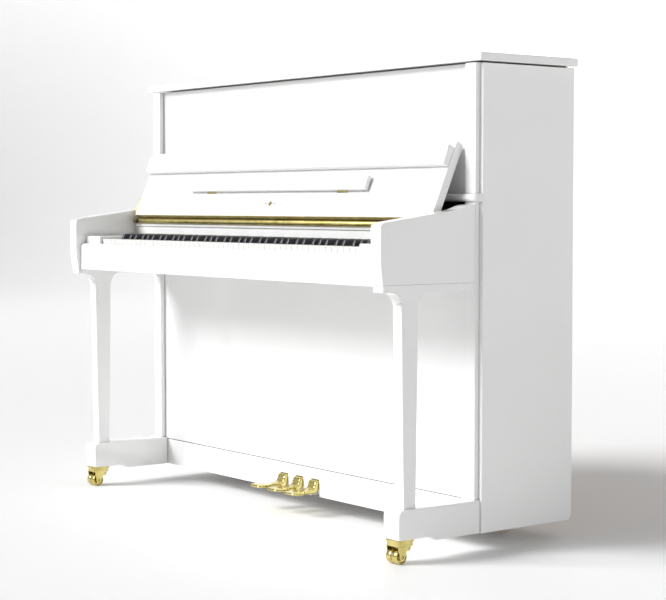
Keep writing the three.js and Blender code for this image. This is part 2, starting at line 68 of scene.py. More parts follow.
def addCamera():
    data = bpy.data.cameras.new("camera")
    data.lens = view["lens"]
    data.sensor_width = view["sensor"]
    data.clip_end = view["farthest"]
    camera = bpy.data.objects.new("camera", data)
    camera.location = view["place"]
    camera.rotation_euler = (math.radians(90 - view["dip"]), 0, math.radians(view["turn"]))
    bpy.context.scene.collection.objects.link(camera)
    bpy.context.scene.camera = camera


studio = {
    "sky": 0.36,
    "keyTowards": (0.39, 0.72, -0.57),  # the way the key light travels
    "keyStrength": 3.5,
    "keySoftness": 28,
    "floorTone": 0.91,
    "floorCloud": 0.985,  # the darker patches of the floor, as a share of its tone
    "wallGlow": 0.5,
    "glowTowards": (-0.795, 0.606),
    "paintedShadeTone": 0.60,  # painted shade on the wall across from the glow
    "paintedShadeFrom": 0.25,
    "floorRadius": 11.0,
    "rimRadius": 4.0,
    "rimTop": 5.0,
    "rimSteps": 12,
    "turnSteps": 64,
}


def addStudio():
    world = bpy.data.worlds.new("studio")
    bpy.context.scene.world = world
    world.use_nodes = True
    sky = world.node_tree.nodes["Background"]
    sky.inputs["Color"].default_value = (1, 1, 1, 1)
    sky.inputs["Strength"].default_value = studio["sky"]
    bpy.context.scene.view_settings.view_transform = "Standard"
    data = bpy.data.lights.new("key_light", "SUN")
    data.energy = studio["keyStrength"]
    data.angle = math.radians(studio["keySoftness"])
    key = bpy.data.objects.new("key_light", data)
    key.rotation_euler = Vector(studio["keyTowards"]).to_track_quat("-Z", "Y").to_euler()
    bpy.context.scene.collection.objects.link(key)


def addFloor(finish):
    # a flat floor whose far rim curves up all round
    bm = bmesh.new()
    flat, rim, steps = studio["floorRadius"], studio["rimRadius"], studio["rimSteps"]
    points = [(0, 0), (flat, 0)]
    for i in range(1, steps + 1):
        turn = math.pi / 2 * i / steps
        points.append((flat + rim * math.sin(turn), rim * (1 - math.cos(turn))))
    points.append((flat + rim, studio["rimTop"]))
    verts = [bm.verts.new((x, 0, z)) for x, z in points]
    edges = [bm.edges.new(pair) for pair in zip(verts, verts[1:])]
    around = {"cent": (0, 0, 0), "axis": (0, 0, 1), "angle": 2 * math.pi, "steps": studio["turnSteps"]}
    bmesh.ops.spin(bm, geom=verts + edges, use_merge=True, **around)
    bmesh.ops.remove_doubles(bm, verts=bm.verts, dist=1e-4)
    bmesh.ops.recalc_face_normals(bm, faces=bm.faces)
    mesh = bpy.data.meshes.new("studio_floor")
    bm.to_mesh(mesh)
    bm.free()
    for face in mesh.polygons:
        face.use_smooth = True
    mesh.materials.append(finish)
    floor = bpy.data.objects.new("studio_floor", mesh)
    bpy.context.scene.collection.objects.link(floor)


# shader helpers
class Flow:  # an output socket that takes part in plain arithmetic
    def __init__(self, finish, socket):
        self.finish = finish
        self.socket = socket

    def join(self, operation, first, second):
        return self.finish.add("ShaderNodeMath", {"operation": operation}, {0: first, 1: second})

    def __add__(self, other):
        return self.join("ADD", self, other)

    def __radd__(self, other):
        return self.join("ADD", other, self)

    def __sub__(self, other):
        return self.join("SUBTRACT", self, other)

    def __rsub__(self, other):
        return self.join("SUBTRACT", other, self)

    def __mul__(self, other):
        return self.join("MULTIPLY", self, other)

    def __rmul__(self, other):
        return self.join("MULTIPLY", other, self)


class Finish:  # a material under construction
    def __init__(self, name, **uniform):
        self.material = bpy.data.materials.new(name)
        self.material.use_nodes = True
        self.nodes = self.material.node_tree.nodes
        self.links = self.material.node_tree.links
        self.shader = self.nodes["Principled BSDF"]
        for socket, value in uniform.items():
            self.shader.inputs[socket.replace("_", " ")].default_value = value
        self.place = self.add("ShaderNodeTexCoord", output="Object")

    def add(self, kind, settings=None, values=None, output=0):
        node = self.nodes.new(kind)
        for key, value in (settings or {}).items():
            if key == "stops":
                self.setStops(node.color_ramp.elements, value)
            else:
                setattr(node, key, value)
        for key, value in (values or {}).items():
            self.feed(node.inputs[key], value)
        return Flow(self, node.outputs[output])

    def setStops(self, elements, stops):
        while len(elements) < len(stops):
            elements.new(1)
        for element, (position, color) in zip(elements, stops):
            element.position = position
            element.color = (*color, 1)

    def feed(self, socket, value):
        if isinstance(value, Flow):
            self.links.new(value.socket, socket)
        else:
            socket.default_value = value

    def stretched(self, scale, turn=(0, 0, 0)):
        return self.add("ShaderNodeMapping", None, {"Vector": self.place, "Scale": scale, "Rotation": turn})

    def noise(self, scale, detail=2.0, rough=0.5, place=None, twist=0.0):
        values = {"Vector": place or self.place, "Scale": scale, "Detail": detail, "Roughness": rough}
        values["Distortion"] = twist
        return self.add("ShaderNodeTexNoise", None, values)

    def ramp(self, value, stops):
        return self.add("ShaderNodeValToRGB", {"stops": stops}, {"Fac": value})

    def blend(self, factor, first, second, how="MIX"):
        first, second = [(*c, 1) if isinstance(c, tuple) else c for c in (first, second)]
        settings = {"data_type": "RGBA", "blend_type": how}
        return self.add("ShaderNodeMix", settings, {0: factor, 6: first, 7: second}, output=2)

    def clamped(self, value):
        return self.add("ShaderNodeClamp", None, {"Value": value})

    def color(self, value):
        self.feed(self.shader.inputs["Base Color"], value)

    def roughness(self, value):
        self.feed(self.shader.inputs["Roughness"], value)

    def bump(self, height, strength, distance):
        values = {"Height": height, "Strength": strength, "Distance": distance}
        self.feed(self.shader.inputs["Normal"], self.add("ShaderNodeBump", None, values))


# finishes
def makeLacquer():
    made = Finish("white_lacquer", Coat_Weight=0.5, Coat_Roughness=0.03, IOR=1.52)
    cloud = made.noise(2.5, 3)
    made.color(made.blend(cloud, (0.885, 0.887, 0.885), (0.915, 0.915, 0.91)))
    haze = made.noise(14, 4)
    made.roughness(0.06 + haze * 0.07)
    peel = made.noise(260, 1)
    made.bump(peel, 0.035, 0.0004)
    return made.material


def makeBrass(name="polished_brass", lined=0.0, dullness=0.11):
    made = Finish(name, Metallic=1.0)
    tarnish = made.noise(38, 5, 0.6)
    tones = [(0.25, (0.44, 0.36, 0.10)), (0.5, (0.66, 0.56, 0.21)), (0.8, (0.80, 0.71, 0.32))]
    made.color(made.ramp(tarnish, tones))
    wipe = made.noise(9, 3, place=made.stretched((1, 14, 14)))
    made.roughness(dullness + wipe * 0.12 + tarnish * 0.05)
    lines = made.noise(90, 2, place=made.stretched((0.4, 12, 12)))
    made.bump(lines * lined + made.noise(150, 2) * 0.5, 0.05, 0.0004)
    return made.material


def makeKeyWhite():
    made = Finish("key_plastic", Coat_Weight=0.2, Coat_Roughness=0.1)
    made.color(made.blend(made.noise(30, 2), (0.88, 0.875, 0.85), (0.92, 0.917, 0.90)))
    made.roughness(0.2 + made.noise(70, 3) * 0.1)
    made.bump(made.noise(900, 1), 0.03, 0.0002)
    return made.material


def makeKeyBlack():
    made = Finish("sharp_plastic")
    made.color(made.blend(made.noise(40, 3), (0.020, 0.022, 0.027), (0.040, 0.043, 0.052)))
    made.roughness(0.26 + made.noise(60, 3) * 0.16)
    made.bump(made.noise(120, 2, place=made.stretched((8, 1, 8))), 0.05, 0.0003)
    return made.material


def makeWood(name, pale, deep, along, ringScale=14.0):
    # growth rings stretched along the board, with fine pores
    made = Finish(name)
    stretch = {"X": (0.09, 1, 1), "Y": (1, 0.09, 1), "Z": (1, 1, 0.09)}[along]
    place = made.stretched(stretch)
    rings = made.noise(ringScale, 5, 0.55, place, 1.6)
    finer = made.stretched([scale * 0.6 if scale < 1 else scale for scale in stretch])
    pores = made.noise(ringScale * 22, 2, 0.6, finer)
    tones = [(0.3, deep), (0.48, tuple((a + b) / 2 for a, b in zip(pale, deep))), (0.62, pale)]
    made.color(made.blend(pores * 0.5, made.ramp(rings, tones), deep, "MULTIPLY"))
    made.roughness(0.42 + pores * 0.2)
    made.bump(pores * 0.6 + rings * 0.4, 0.12, 0.0006)
    return made.material


def makeSpruce():
    # close, straight year lines on the slant under a thin varnish
    made = Finish("varnished_spruce", Coat_Weight=0.15, Coat_Roughness=0.25)
    place = made.stretched((1, 1, 1), (0, math.radians(48), 0))
    lines = {"wave_type": "BANDS", "bands_direction": "Z"}
    values = {"Vector": place, "Scale": 42.0, "Distortion": 3.0, "Detail": 2.0, "Detail Scale": 0.4}
    years = made.add("ShaderNodeTexWave", lines, values, output="Fac")
    cloud = made.noise(4, 3)
    base = made.blend(years, (0.74, 0.52, 0.27), (0.48, 0.27, 0.10))
    made.color(made.blend(cloud * 0.5, base, (0.80, 0.66, 0.45), "MULTIPLY"))
    made.roughness(0.36 + cloud * 0.15)
    made.bump(years, 0.08, 0.0004)
    return made.material


def makeIron():
    made = Finish("bronze_paint", Metallic=0.65)
    grit = made.noise(220, 4, 0.7)
    made.color(made.blend(grit, (0.42, 0.28, 0.09), (0.64, 0.46, 0.19)))
    made.roughness(0.34 + made.noise(24, 3) * 0.2)
    made.bump(made.noise(130, 4, 0.6), 0.25, 0.0012)
    return made.material


def makeSteel(name, pale, deep):
    made = Finish(name, Metallic=1.0)
    made.color(made.blend(made.noise(60, 3), deep, pale))
    made.roughness(0.2 + made.noise(140, 3) * 0.16)
    made.bump(made.noise(400, 2), 0.06, 0.0002)
    return made.material


def makeFelt(name, pale, deep):
    made = Finish(name, Sheen_Weight=0.4, Sheen_Roughness=0.5)
    fuzz = made.noise(420, 5, 0.75)
    made.color(made.blend(fuzz, deep, pale))
    made.roughness(0.86 + fuzz * 0.12)
    made.bump(fuzz, 0.6, 0.0012)
    return made.material


def makeRubber():
    made = Finish("black_rubber")
    grain = made.noise(300, 3)
    made.color(made.blend(grain, (0.012, 0.012, 0.013), (0.03, 0.03, 0.031)))
    made.roughness(0.55 + grain * 0.2)
    made.bump(grain, 0.15, 0.0004)
    return made.material


def makePaint(name, pale, deep, sheen=0.4):
    made = Finish(name)
    made.color(made.blend(made.noise(12, 3), deep, pale))
    made.roughness(sheen + made.noise(60, 3) * 0.12)
    made.bump(made.noise(180, 2), 0.05, 0.0004)
    return made.material


def makeFloorGlowAndShade():
    # painted light and shade: the wall glows a little on one side of the studio, and is painted dark on the other
    # as shade
    made = Finish("studio_glow_and_painted_shade", Emission_Strength=1.0)
    tone, dark, glow = studio["floorTone"], studio["paintedShadeTone"], studio["wallGlow"]
    cloud = made.noise(0.4, 2)
    pale = made.blend(cloud, (tone,) * 3, (tone * studio["floorCloud"],) * 3)
    made.roughness(0.5 + made.noise(5, 2) * 0.1)
    parts = [made.add("ShaderNodeSeparateXYZ", None, {0: made.place}, output=i) for i in range(3)]
    east, north = studio["glowTowards"]
    along = (parts[0] * east + parts[1] * north) * (1 / studio["floorRadius"])
    climb = made.clamped(parts[2] * (1 / studio["rimRadius"]))
    # painted shade: the wall darkens away from the glow side
    shade = made.clamped(studio["paintedShadeFrom"] - along) * made.clamped(parts[2] * 2)
    made.color(made.blend(shade, pale, (dark,) * 3))
    # painted light: the wall glows from within towards the glow side
    lit = made.blend(made.clamped(along) * climb, (0, 0, 0), (glow,) * 3)
    made.feed(made.shader.inputs["Emission Color"], lit)
    return made.material


lacquer = makeLacquer()
brass = makeBrass()
brushedBrass = makeBrass("brushed_brass", 1.0, 0.26)
keyWhite = makeKeyWhite()
keyBlack = makeKeyBlack()
beechX = makeWood("beech_along_x", (0.62, 0.41, 0.23), (0.42, 0.25, 0.12), "X")
beechY = makeWood("beech_along_y", (0.66, 0.46, 0.27), (0.47, 0.30, 0.15), "Y")
beechZ = makeWood("beech_along_z", (0.60, 0.40, 0.22), (0.40, 0.24, 0.12), "Z")
maple = makeWood("maple", (0.70, 0.54, 0.36), (0.55, 0.39, 0.23), "X", 20)
spruce = makeSpruce()
iron = makeIron()
steel = makeSteel("bright_steel", (0.66, 0.67, 0.69), (0.50, 0.51, 0.53))
copper = makeSteel("copper_winding", (0.78, 0.42, 0.25), (0.55, 0.26, 0.14))
whiteFelt = makeFelt("white_felt", (0.84, 0.82, 0.76), (0.68, 0.66, 0.60))
redFelt = makeFelt("red_felt", (0.52, 0.03, 0.035), (0.30, 0.01, 0.015))
greenFelt = makeFelt("green_felt", (0.04, 0.22, 0.11), (0.02, 0.12, 0.06))
rubber = makeRubber()
whitePaint = makePaint("white_paint", (0.86, 0.86, 0.85), (0.82, 0.82, 0.81))
# painted shade: a flat black for boards behind the fallboard, where the key opening should read as deep shadow
shadeBlackPaint = makePaint("painted_shade_black", (0.022, 0.021, 0.020), (0.014, 0.013, 0.012), 0.55)
print("finishes made:", len(bpy.data.materials))


# shape helpers
def inOrder(items):  # each one once, always in the same order
    return list(dict.fromkeys(items))


def addBlock(bm, low, high, radius=0.0, segments=2, turn=None):
    low, high = Vector(low), Vector(high)
    place = Matrix.Translation((low + high) / 2) @ Matrix.Diagonal((*(high - low), 1))
    verts = bmesh.ops.create_cube(bm, size=1, matrix=place)["verts"]
    if radius:
        edges = inOrder(edge for vert in verts for edge in vert.link_edges)
        verts = roundEdges(bm, edges, radius, segments)
    if turn:
        bmesh.ops.transform(bm, matrix=turn, verts=verts)


def roundEdges(bm, edges, radius, segments=2):
    shape = {"offset_type": "OFFSET", "segments": segments, "profile": 0.5, "affect": "EDGES"}
    made = bmesh.ops.bevel(bm, geom=edges, offset=radius, clamp_overlap=True, material=-1, **shape)
    return inOrder(vert for face in made["faces"] for vert in face.verts)


def addRod(bm, start, end, radius, sides=12, endRadius=None):
    start, end = Vector(start), Vector(end)
    turn = (end - start).to_track_quat("Z", "Y").to_matrix().to_4x4()
    radii = {"radius1": radius, "radius2": radius if endRadius is None else endRadius}
    place = Matrix.Translation((start + end) / 2) @ turn
    length = (end - start).length
    bmesh.ops.create_cone(bm, cap_ends=True, segments=sides, depth=length, matrix=place, **radii)


def addSlab(bm, outline, low, high, axis="X", turn=None):
    # an outline pushed along an axis; the outline's own axes are the two others
    across = {"X": (1, 2), "Y": (0, 2), "Z": (0, 1)}[axis]
    verts = []
    for pair in outline:
        place = Vector((low, low, low))
        place[across[0]], place[across[1]] = pair
        verts.append(bm.verts.new(place))
    face = bm.faces.new(verts)
    made = bmesh.ops.extrude_face_region(bm, geom=[face])
    moved = [item for item in made["geom"] if isinstance(item, bmesh.types.BMVert)]
    away = {"X": (high - low, 0, 0), "Y": (0, high - low, 0), "Z": (0, 0, high - low)}[axis]
    bmesh.ops.translate(bm, vec=away, verts=moved)
    faces = inOrder(face for vert in verts + moved for face in vert.link_faces)
    bmesh.ops.recalc_face_normals(bm, faces=faces)
    if turn:
        bmesh.ops.transform(bm, matrix=turn, verts=verts + moved)
    return faces


def addTurned(bm, profile, centre, axis=(1, 0, 0), side=(0, 0, 1), steps=40):
    # a profile of (along the axis, radius) turned full circle
    axis, side, centre = Vector(axis), Vector(side), Vector(centre)
    verts = [bm.verts.new(centre + axis * along + side * radius) for along, radius in profile]
    edges = [bm.edges.new(pair) for pair in zip(verts, verts[1:])]
    around = {"cent": centre, "axis": axis, "angle": 2 * math.pi, "steps": steps, "use_merge": True}
    bmesh.ops.spin(bm, geom=verts + edges, **around)
    bmesh.ops.remove_doubles(bm, verts=bm.verts, dist=mergeWithin)


def addPiece(name, bm, finish, body, stands=(), smoothAngle=35):
    bmesh.ops.recalc_face_normals(bm, faces=bm.faces)
    for face in bm.faces:
        face.smooth = True
    for edge in bm.edges:
        edge.smooth = len(edge.link_faces) != 2 or edge.calc_face_angle(0) < math.radians(smoothAngle)
    mesh = bpy.data.meshes.new(name)
    bm.to_mesh(mesh)
    bm.free()
    mesh.materials.append(finish)
    piece = bpy.data.objects.new(name, mesh)
    bpy.context.scene.collection.objects.link(piece)
    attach(piece, body)
    if stands:
        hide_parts(*stands)
    return piece


def cleanCopy(node):
    bm = bmesh.new()
    bm.from_mesh(nodes[node].data)
    bmesh.ops.remove_doubles(bm, verts=bm.verts, dist=mergeWithin)
    every = {"verts": bm.verts, "edges": bm.edges}
    bmesh.ops.dissolve_limit(bm, angle_limit=0.004, use_dissolve_boundaries=False, **every)
    return bm


def sharpEdges(bm, angle=28):
    limit = math.radians(angle)
    return [edge for edge in bm.edges if len(edge.link_faces) == 2 and edge.calc_face_angle(0) > limit]


def addSoftened(node, radius, finish, segments=3, chosen=None):
    # the node's own shape with its sharp edges rounded, or only the chosen ones of them
    bm = cleanCopy(node)
    edges = [edge for edge in sharpEdges(bm) if chosen is None or chosen(edge)]
    roundEdges(bm, edges, radius * millimetre, segments)
    piece = addPiece(node + "_finished", bm, finish, bodyOf[node], (node,), 60)
    weigh = piece.modifiers.new("face weights", "WEIGHTED_NORMAL")
    weigh.keep_sharp = True
    weigh.weight = 90
    return piece


def repaint(node, finish):
    for holder in nodes[node].material_slots:
        holder.material = finish


# case panels
panels = {
    "edgeRadius": {
        "lid": 2.5,
        "upper_panel": 1.2,
        "knee_panel": 1.2,
        "ledge_rail": 0.8,
        "bottom_rail": 1.5,
        "key_slip": 1.5,
        "nameboard": 1.0,
        "fallboard": 1.6,
        "fallboard_lip": 2.2,
        "music_flap": 2.2,
    },
    "pairRadius": {
        "side_panel": 2.0,
        "stile": 1.5,
        "arm": 2.0,
        "toe_block": 2.6,
        "key_block": 4.0,
    },
    "bracketRadius": 1.8,
    "legRadius": 2.5,
    "paintRadius": {
        "keybed": (2.0, whitePaint),
        "bottom_board": (1.0, whitePaint),
        # the fallboard back rail is painted black as shade
        "fallboard_back_rail": (1.0, shadeBlackPaint),
    },
    "woodRadius": {
        "back_frame": (3.0, beechZ),
        "pin_block": (1.0, maple),
        "treble_bridge": (2.0, maple),
        "bass_bridge": (2.0, maple),
        "trap_lever_soft": (2.5, beechX),
        "trap_lever_practice": (2.5, beechX),
        "trap_lever_sustain": (2.5, beechX),
    },
}


def isUpright(edge):
    return abs(edge.verts[0].co.z - edge.verts[1].co.z) > 0.1


def addLegs():
    for hand in ("left", "right"):
        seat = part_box(f"leg_{hand}")[1].z

        def offSeat(edge):  # the leg runs up into its bracket without a visible joint
            return min(abs(vert.co.z - seat) for vert in edge.verts) > millimetre

        bracket, leg = f"leg_bracket_{hand}", f"leg_{hand}"
        addSoftened(bracket, panels["bracketRadius"], lacquer, chosen=offSeat)
        addSoftened(leg, panels["legRadius"], lacquer, chosen=isUpright)


def addPanels():
    for node, radius in panels["edgeRadius"].items():
        addSoftened(node, radius, lacquer)
    for stem, radius in panels["pairRadius"].items():
        for hand in ("left", "right"):
            addSoftened(f"{stem}_{hand}", radius, lacquer)
    addLegs()
    for node, (radius, finish) in panels["woodRadius"].items():
        addSoftened(node, radius, finish, 2)
    for node, (radius, finish) in panels["paintRadius"].items():
        addSoftened(node, radius, finish, 2)
    for node, finish in (("soundboard", spruce), ("key_frame", beechX), ("action_frame", maple)):
        repaint(node, finish)


# keyboard
keys = {
    "count": 52,
    "gap": 0.00095,
    "plate": 0.0024,  # thickness of the white tops
    "overhang": 0.0012,
    "front": 0.0018,
    "edge": 0.0006,
    "cut": 0.0012,
    "frontInset": 0.0002,  # the front plate's sides and edges
    "frontEdge": 0.0003,
    "stickInset": 0.0006,
    "shift": {"C": -2.6, "D": 2.6, "F": -3.8, "G": 0.0, "A": 3.8},  # sharps, millimetres off the joint below
    "letters": "CDEFGAB",
    "lowest": 5,  # the first key is an A
    "sharpTaper": 0.0009,
    "sharpEdge": 0.0011,
    "sharpLength": 0.110,
    # in from the front; then up from the white tops for the first, from the sharp's top for the others
    "sharpFront": ((0, 0.001), (0.0065, -0.0012), (0.011, 0)),
    "sharpSunk": 0.004,
    "whiteTail": 0.008,  # the white tops end this far behind the sharps, under the nameboard
    "feltPlaces": (-0.247, -0.043),  # front and balance rails
    "feltSize": (0.012, 0.0014),  # half its width, and its height
    "nameFelt": 0.003,
}


def listKeys():
    low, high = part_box("keys_bass")[0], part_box("keys_treble")[1]
    gap = keys["gap"]
    pitch = (high.x - low.x + gap) / keys["count"]
    start = low.x - gap / 2
    listed = []
    for i in range(keys["count"]):
        step = i + keys["lowest"]
        letter = keys["letters"][step % 7]
        x0 = start + i * pitch
        shift = keys["shift"].get(letter) if i < keys["count"] - 1 else None
        sharp = None if shift is None else x0 + pitch + shift * millimetre
        name = f"{letter}{step // 7}"
        listed.append({"name": name, "x0": x0 + gap / 2, "x1": x0 + pitch - gap / 2, "sharp": sharp})
    return listed


keyList = listKeys()
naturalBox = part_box("key_C4")
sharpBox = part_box("key_Csharp4")
shoulder = sharpBox[0].y - keys["cut"]
sharpEnd = sharpBox[0].y + keys["sharpLength"]
whiteUnder = naturalBox[1].z - keys["plate"]


def tailSides(i):
    # the narrow part of a natural, between the sharps
    key = keyList[i]
    before = keyList[i - 1]["sharp"] if i else None
    clear = (sharpBox[1].x - sharpBox[0].x) / 2 + keys["cut"]
    left = key["x0"] if before is None else max(key["x0"], before + clear)
    right = key["x1"] if key["sharp"] is None else min(key["x1"], key["sharp"] - clear)
    return left, right


def addNaturalTop(bm, i):
    key = keyList[i]
    left, right = tailSides(i)
    top, back = naturalBox[1].z, sharpEnd + keys["whiteTail"]
    points = [(key["x0"], naturalBox[0].y), (key["x1"], naturalBox[0].y), (key["x1"], shoulder)]
    if right < key["x1"]:
        points.append((right, shoulder))
    points += [(right, back), (left, back)]
    if left > key["x0"]:
        points.append((left, shoulder))
    points.append((key["x0"], shoulder))
    faces = addSlab(bm, points, whiteUnder, top, "Z")
    edges = inOrder(edge for face in faces for edge in face.edges)
    upper = [edge for edge in edges if all(abs(vert.co.z - top) < mergeWithin for vert in edge.verts)]
    roundEdges(bm, upper, keys["edge"], 2)
    front, inset = naturalBox[0].y + keys["overhang"], keys["frontInset"]
    low = (key["x0"] + inset, front, naturalBox[0].z)
    high = (key["x1"] - inset, front + keys["front"], whiteUnder)
    addBlock(bm, low, high, keys["frontEdge"], 1)


def addNaturalStick(bm, i):
    key = keyList[i]
    left, right = tailSides(i)
    wide, slim = keys["stickInset"], keys["stickInset"] - keys["frontInset"]
    front = naturalBox[0].y + keys["overhang"] + keys["front"]
    floor = naturalBox[0].z
    addBlock(bm, (key["x0"] + wide, front, floor), (key["x1"] - wide, shoulder, whiteUnder))
    addBlock(bm, (left + slim, shoulder, floor), (right - slim, naturalBox[1].y, whiteUnder))


def addSharpTop(bm, x):
    low, high = sharpBox
    half = (high.x - low.x) / 2
    white = naturalBox[1].z
    floor = white - keys["sharpSunk"]
    foot, brow, crown = keys["sharpFront"]
    outline = [(low.y, floor), (low.y + foot[0], white + foot[1])]
    outline += [(low.y + into, high.z + drop) for into, drop in (brow, crown)]
    outline += [(sharpEnd, high.z), (sharpEnd, floor)]
    faces = addSlab(bm, outline, x - half, x + half)
    for vert in inOrder(vert for face in faces for vert in face.verts):  # the sides lean in upwards
        climb = max(0, (vert.co.z - white) / (high.z - white))
        vert.co.x -= math.copysign(keys["sharpTaper"] * climb, vert.co.x - x)
    edges = inOrder(edge for face in faces for edge in face.edges)
    above = white + millimetre / 2
    proud = [edge for edge in edges if max(vert.co.z for vert in edge.verts) > above]
    roundEdges(bm, proud, keys["sharpEdge"], 2)


def addSharpStick(bm, x):
    low, high = sharpBox
    half = (high.x - low.x) / 2 - keys["stickInset"] + keys["frontInset"]
    white = naturalBox[1].z
    under = white - keys["sharpSunk"] - keys["frontInset"]
    addBlock(bm, (x - half, low.y + keys["stickInset"], low.z), (x + half, sharpEnd, under))
    addBlock(bm, (x - half, sharpEnd, low.z), (x + half, high.y, white))


def addKeyRun(stem, body, indices, stands):
    tops, sticks, blacks = bmesh.new(), bmesh.new(), bmesh.new()
    for i in indices:
        addNaturalTop(tops, i)
        addNaturalStick(sticks, i)
        if keyList[i]["sharp"] is not None:
            addSharpTop(blacks, keyList[i]["sharp"])
            addSharpStick(sticks, keyList[i]["sharp"])
    addPiece(f"natural_tops_{stem}", tops, keyWhite, body, stands)
    addPiece(f"key_sticks_{stem}", sticks, beechY, body)
    addPiece(f"sharp_tops_{stem}", blacks, keyBlack, body)


def addMovingKey(name, body, addTop, addStick, place, finish, slot, kind):
    top, stick = bmesh.new(), bmesh.new()
    addTop(top, place)
    addStick(stick, place)
    addPiece(f"{kind}_top_{name}", top, finish, body, (body,))
    stem = "key_stick" if kind == "natural" else "sharp_stick"
    addPiece(f"{stem}_{name}", stick, beechY, body)


def addKeyboard():
    middle = [key["name"] for key in keyList].index("C4")
    addKeyRun("bass", "case", range(middle), ("keys_bass",))
    addKeyRun("treble", "case", range(middle + 3, keys["count"]), ("keys_treble",))
    for i in range(middle, middle + 3):
        name, sharp = keyList[i]["name"], keyList[i]["sharp"]
        natural = (addNaturalTop, addNaturalStick, i, keyWhite, "key_white", "natural")
        addMovingKey(name, f"key_{name}", *natural)
        if sharp is not None:
            name = f"{name[0]}sharp{name[1]}"
            black = (addSharpTop, addSharpStick, sharp, keyBlack, "key_black", "sharp")
            addMovingKey(name, f"key_{name}", *black)
    addKeyFelts()


def addKeyFelts():
    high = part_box("key_frame")[1]
    half = high.x - 2 * millimetre
    wide, tall = keys["feltSize"]
    bm = bmesh.new()
    for y in keys["feltPlaces"]:
        addBlock(bm, (-half, y - wide, high.z), (half, y + wide, high.z + tall), 0.0005)
    addPiece("key_felts", bm, greenFelt, "case")
    low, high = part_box("nameboard")
    bm = bmesh.new()
    under = (-half, low.y + millimetre, low.z - keys["nameFelt"])
    addBlock(bm, under, (half, high.y - millimetre, low.z), millimetre)
    addPiece("nameboard_felt", bm, redFelt, "case")


# fallboard fittings
fallboard = {
    "lean": 24.0,
    "half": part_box("fallboard")[1].x,
    "inner": -0.0078,
    "plate": (-0.0085, 0.0125, 0.004, 0.053),  # the bass end's plate: across and along the board
    "plateThick": 0.0056,
    "plateEdge": 0.0012,
    "pin": 0.0042,
    "pinPlace": (0.002, 0.0035),  # how far in from the board's end, and up
    "foot": ((-0.0072, -0.0031), (0.0148, -0.0026)),  # the brass leaf under the board's foot
}
flapHinge = {"places": (-0.305, 0.305), "half": 0.022, "wire": 0.0026, "reach": 0.46}


def boardPlace():
    lean = Matrix.Rotation(math.radians(-fallboard["lean"]), 4, "X")
    return Matrix.Translation(jointOf["fallboard_close"]["pos_m"]) @ lean


def addFallboardFittings():
    place = boardPlace()
    half, (inset, up) = fallboard["half"], fallboard["pinPlace"]
    y0, y1, z0, z1 = fallboard["plate"]
    plates, pins = bmesh.new(), bmesh.new()
    plateEnd = -half - fallboard["plateThick"]
    addBlock(plates, (plateEnd, y0, z0), (-half, y1, z1), fallboard["plateEdge"], 3, place)
    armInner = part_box("arm_right")[0].x
    for side in (-1, 1):
        start = place @ Vector((side * (half - inset), 0, up))
        addRod(pins, start, (side * armInner, start.y, start.z), fallboard["pin"], 20)
    foot0, foot1 = fallboard["foot"]
    addBlock(plates, (-half, *foot0), (half, *foot1), turn=place)
    addPiece("fallboard_foot_brass", plates, brushedBrass, "fallboard")
    addPiece("fallboard_pivot_pins", pins, brass, "fallboard")


def addFlapHinges():
    y, z = jointOf["music_flap_open"]["pos_m"][1:]
    part, reach = flapHinge["half"] / 2.5, flapHinge["reach"]  # five knuckles fill a hinge's length
    fixed, moving = bmesh.new(), bmesh.new()
    for x in flapHinge["places"]:
        for k in range(-2, 3):
            barrel = fixed if k % 2 else moving
            ends = [(x + (k + way) * part, y, z) for way in (-reach, reach)]
            addRod(barrel, *ends, flapHinge["wire"], 14)
    addPiece("flap_hinge_leaves", fixed, brass, "fallboard")
    addPiece("flap_hinge_knuckles", moving, brass, "music_flap")


ornament = {
    "height": 0.034,  # up the board
    "half": (0.009, 0.0085),  # the lozenge
    "thick": 0.0003,
    "bar": (0.013, 0.044, 0.0011),  # inner end, outer end, half its width
    "tip": (0.0465, 0.0022),
}


def addOrnament():
    # a plain gilt lozenge between two slim tapered bars, inlaid on the fallboard
    bm = bmesh.new()
    place, mid = boardPlace(), ornament["height"]
    depth = (fallboard["inner"] - ornament["thick"], fallboard["inner"], "Y", place)
    wide, tall = ornament["half"]
    start, end, half = ornament["bar"]
    away, small = ornament["tip"]
    addSlab(bm, [(-wide, mid), (0, mid - tall), (wide, mid), (0, mid + tall)], *depth)
    for side in (-1, 1):
        addSlab(bm, [(side * start, mid - half), (side * end, mid), (side * start, mid + half)], *depth)
        tip = [(side * away + small * u, mid + small * v) for u, v in ((-1, 0), (0, -1), (1, 0), (0, 1))]
        addSlab(bm, tip, *depth)
    addPiece("fallboard_ornament", bm, brass, "fallboard")


strip = {
    "edge": 0.0008,
    "buffer": (0.0066, 0.0045, 0.0015),  # radius, how far it stands out, and its rounded rim
    "bufferSunk": 0.002,
    "bufferIn": 0.023,
    "bead": (0.004, 0.008, 0.0002, 0.0012),  # the moulding under it: depth, height, gap above, edge
    "shadeBoard": (0.0035, 0.0015, 0.03, 0.001),  # the black board behind, painted shade for the key opening: gap, thickness, drop, gap above
}


def addHingeStrip():
    bm = cleanCopy("fallboard_hinge")
    roundEdges(bm, sharpEdges(bm, 40), strip["edge"], 2)
    addPiece("fallboard_hinge_strip", bm, brushedBrass, "case", ("fallboard_hinge",))
    low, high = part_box("fallboard_hinge")
    radius, proud, rim = strip["buffer"]
    sunk = -strip["bufferSunk"]
    profile = [(sunk, 0), (sunk, radius), (proud - rim, radius), (proud, radius - rim), (proud, 0)]
    bm = bmesh.new()
    for side in (-1, 1):  # rubber buffers on the strip's face, close to its ends
        place = (side * (high.x - strip["bufferIn"]), low.y, (low.z + high.z) / 2)
        addTurned(bm, profile, place, (0, -1, 0), (0, 0, 1), 20)
    addPiece("fallboard_buffers", bm, rubber, "case")


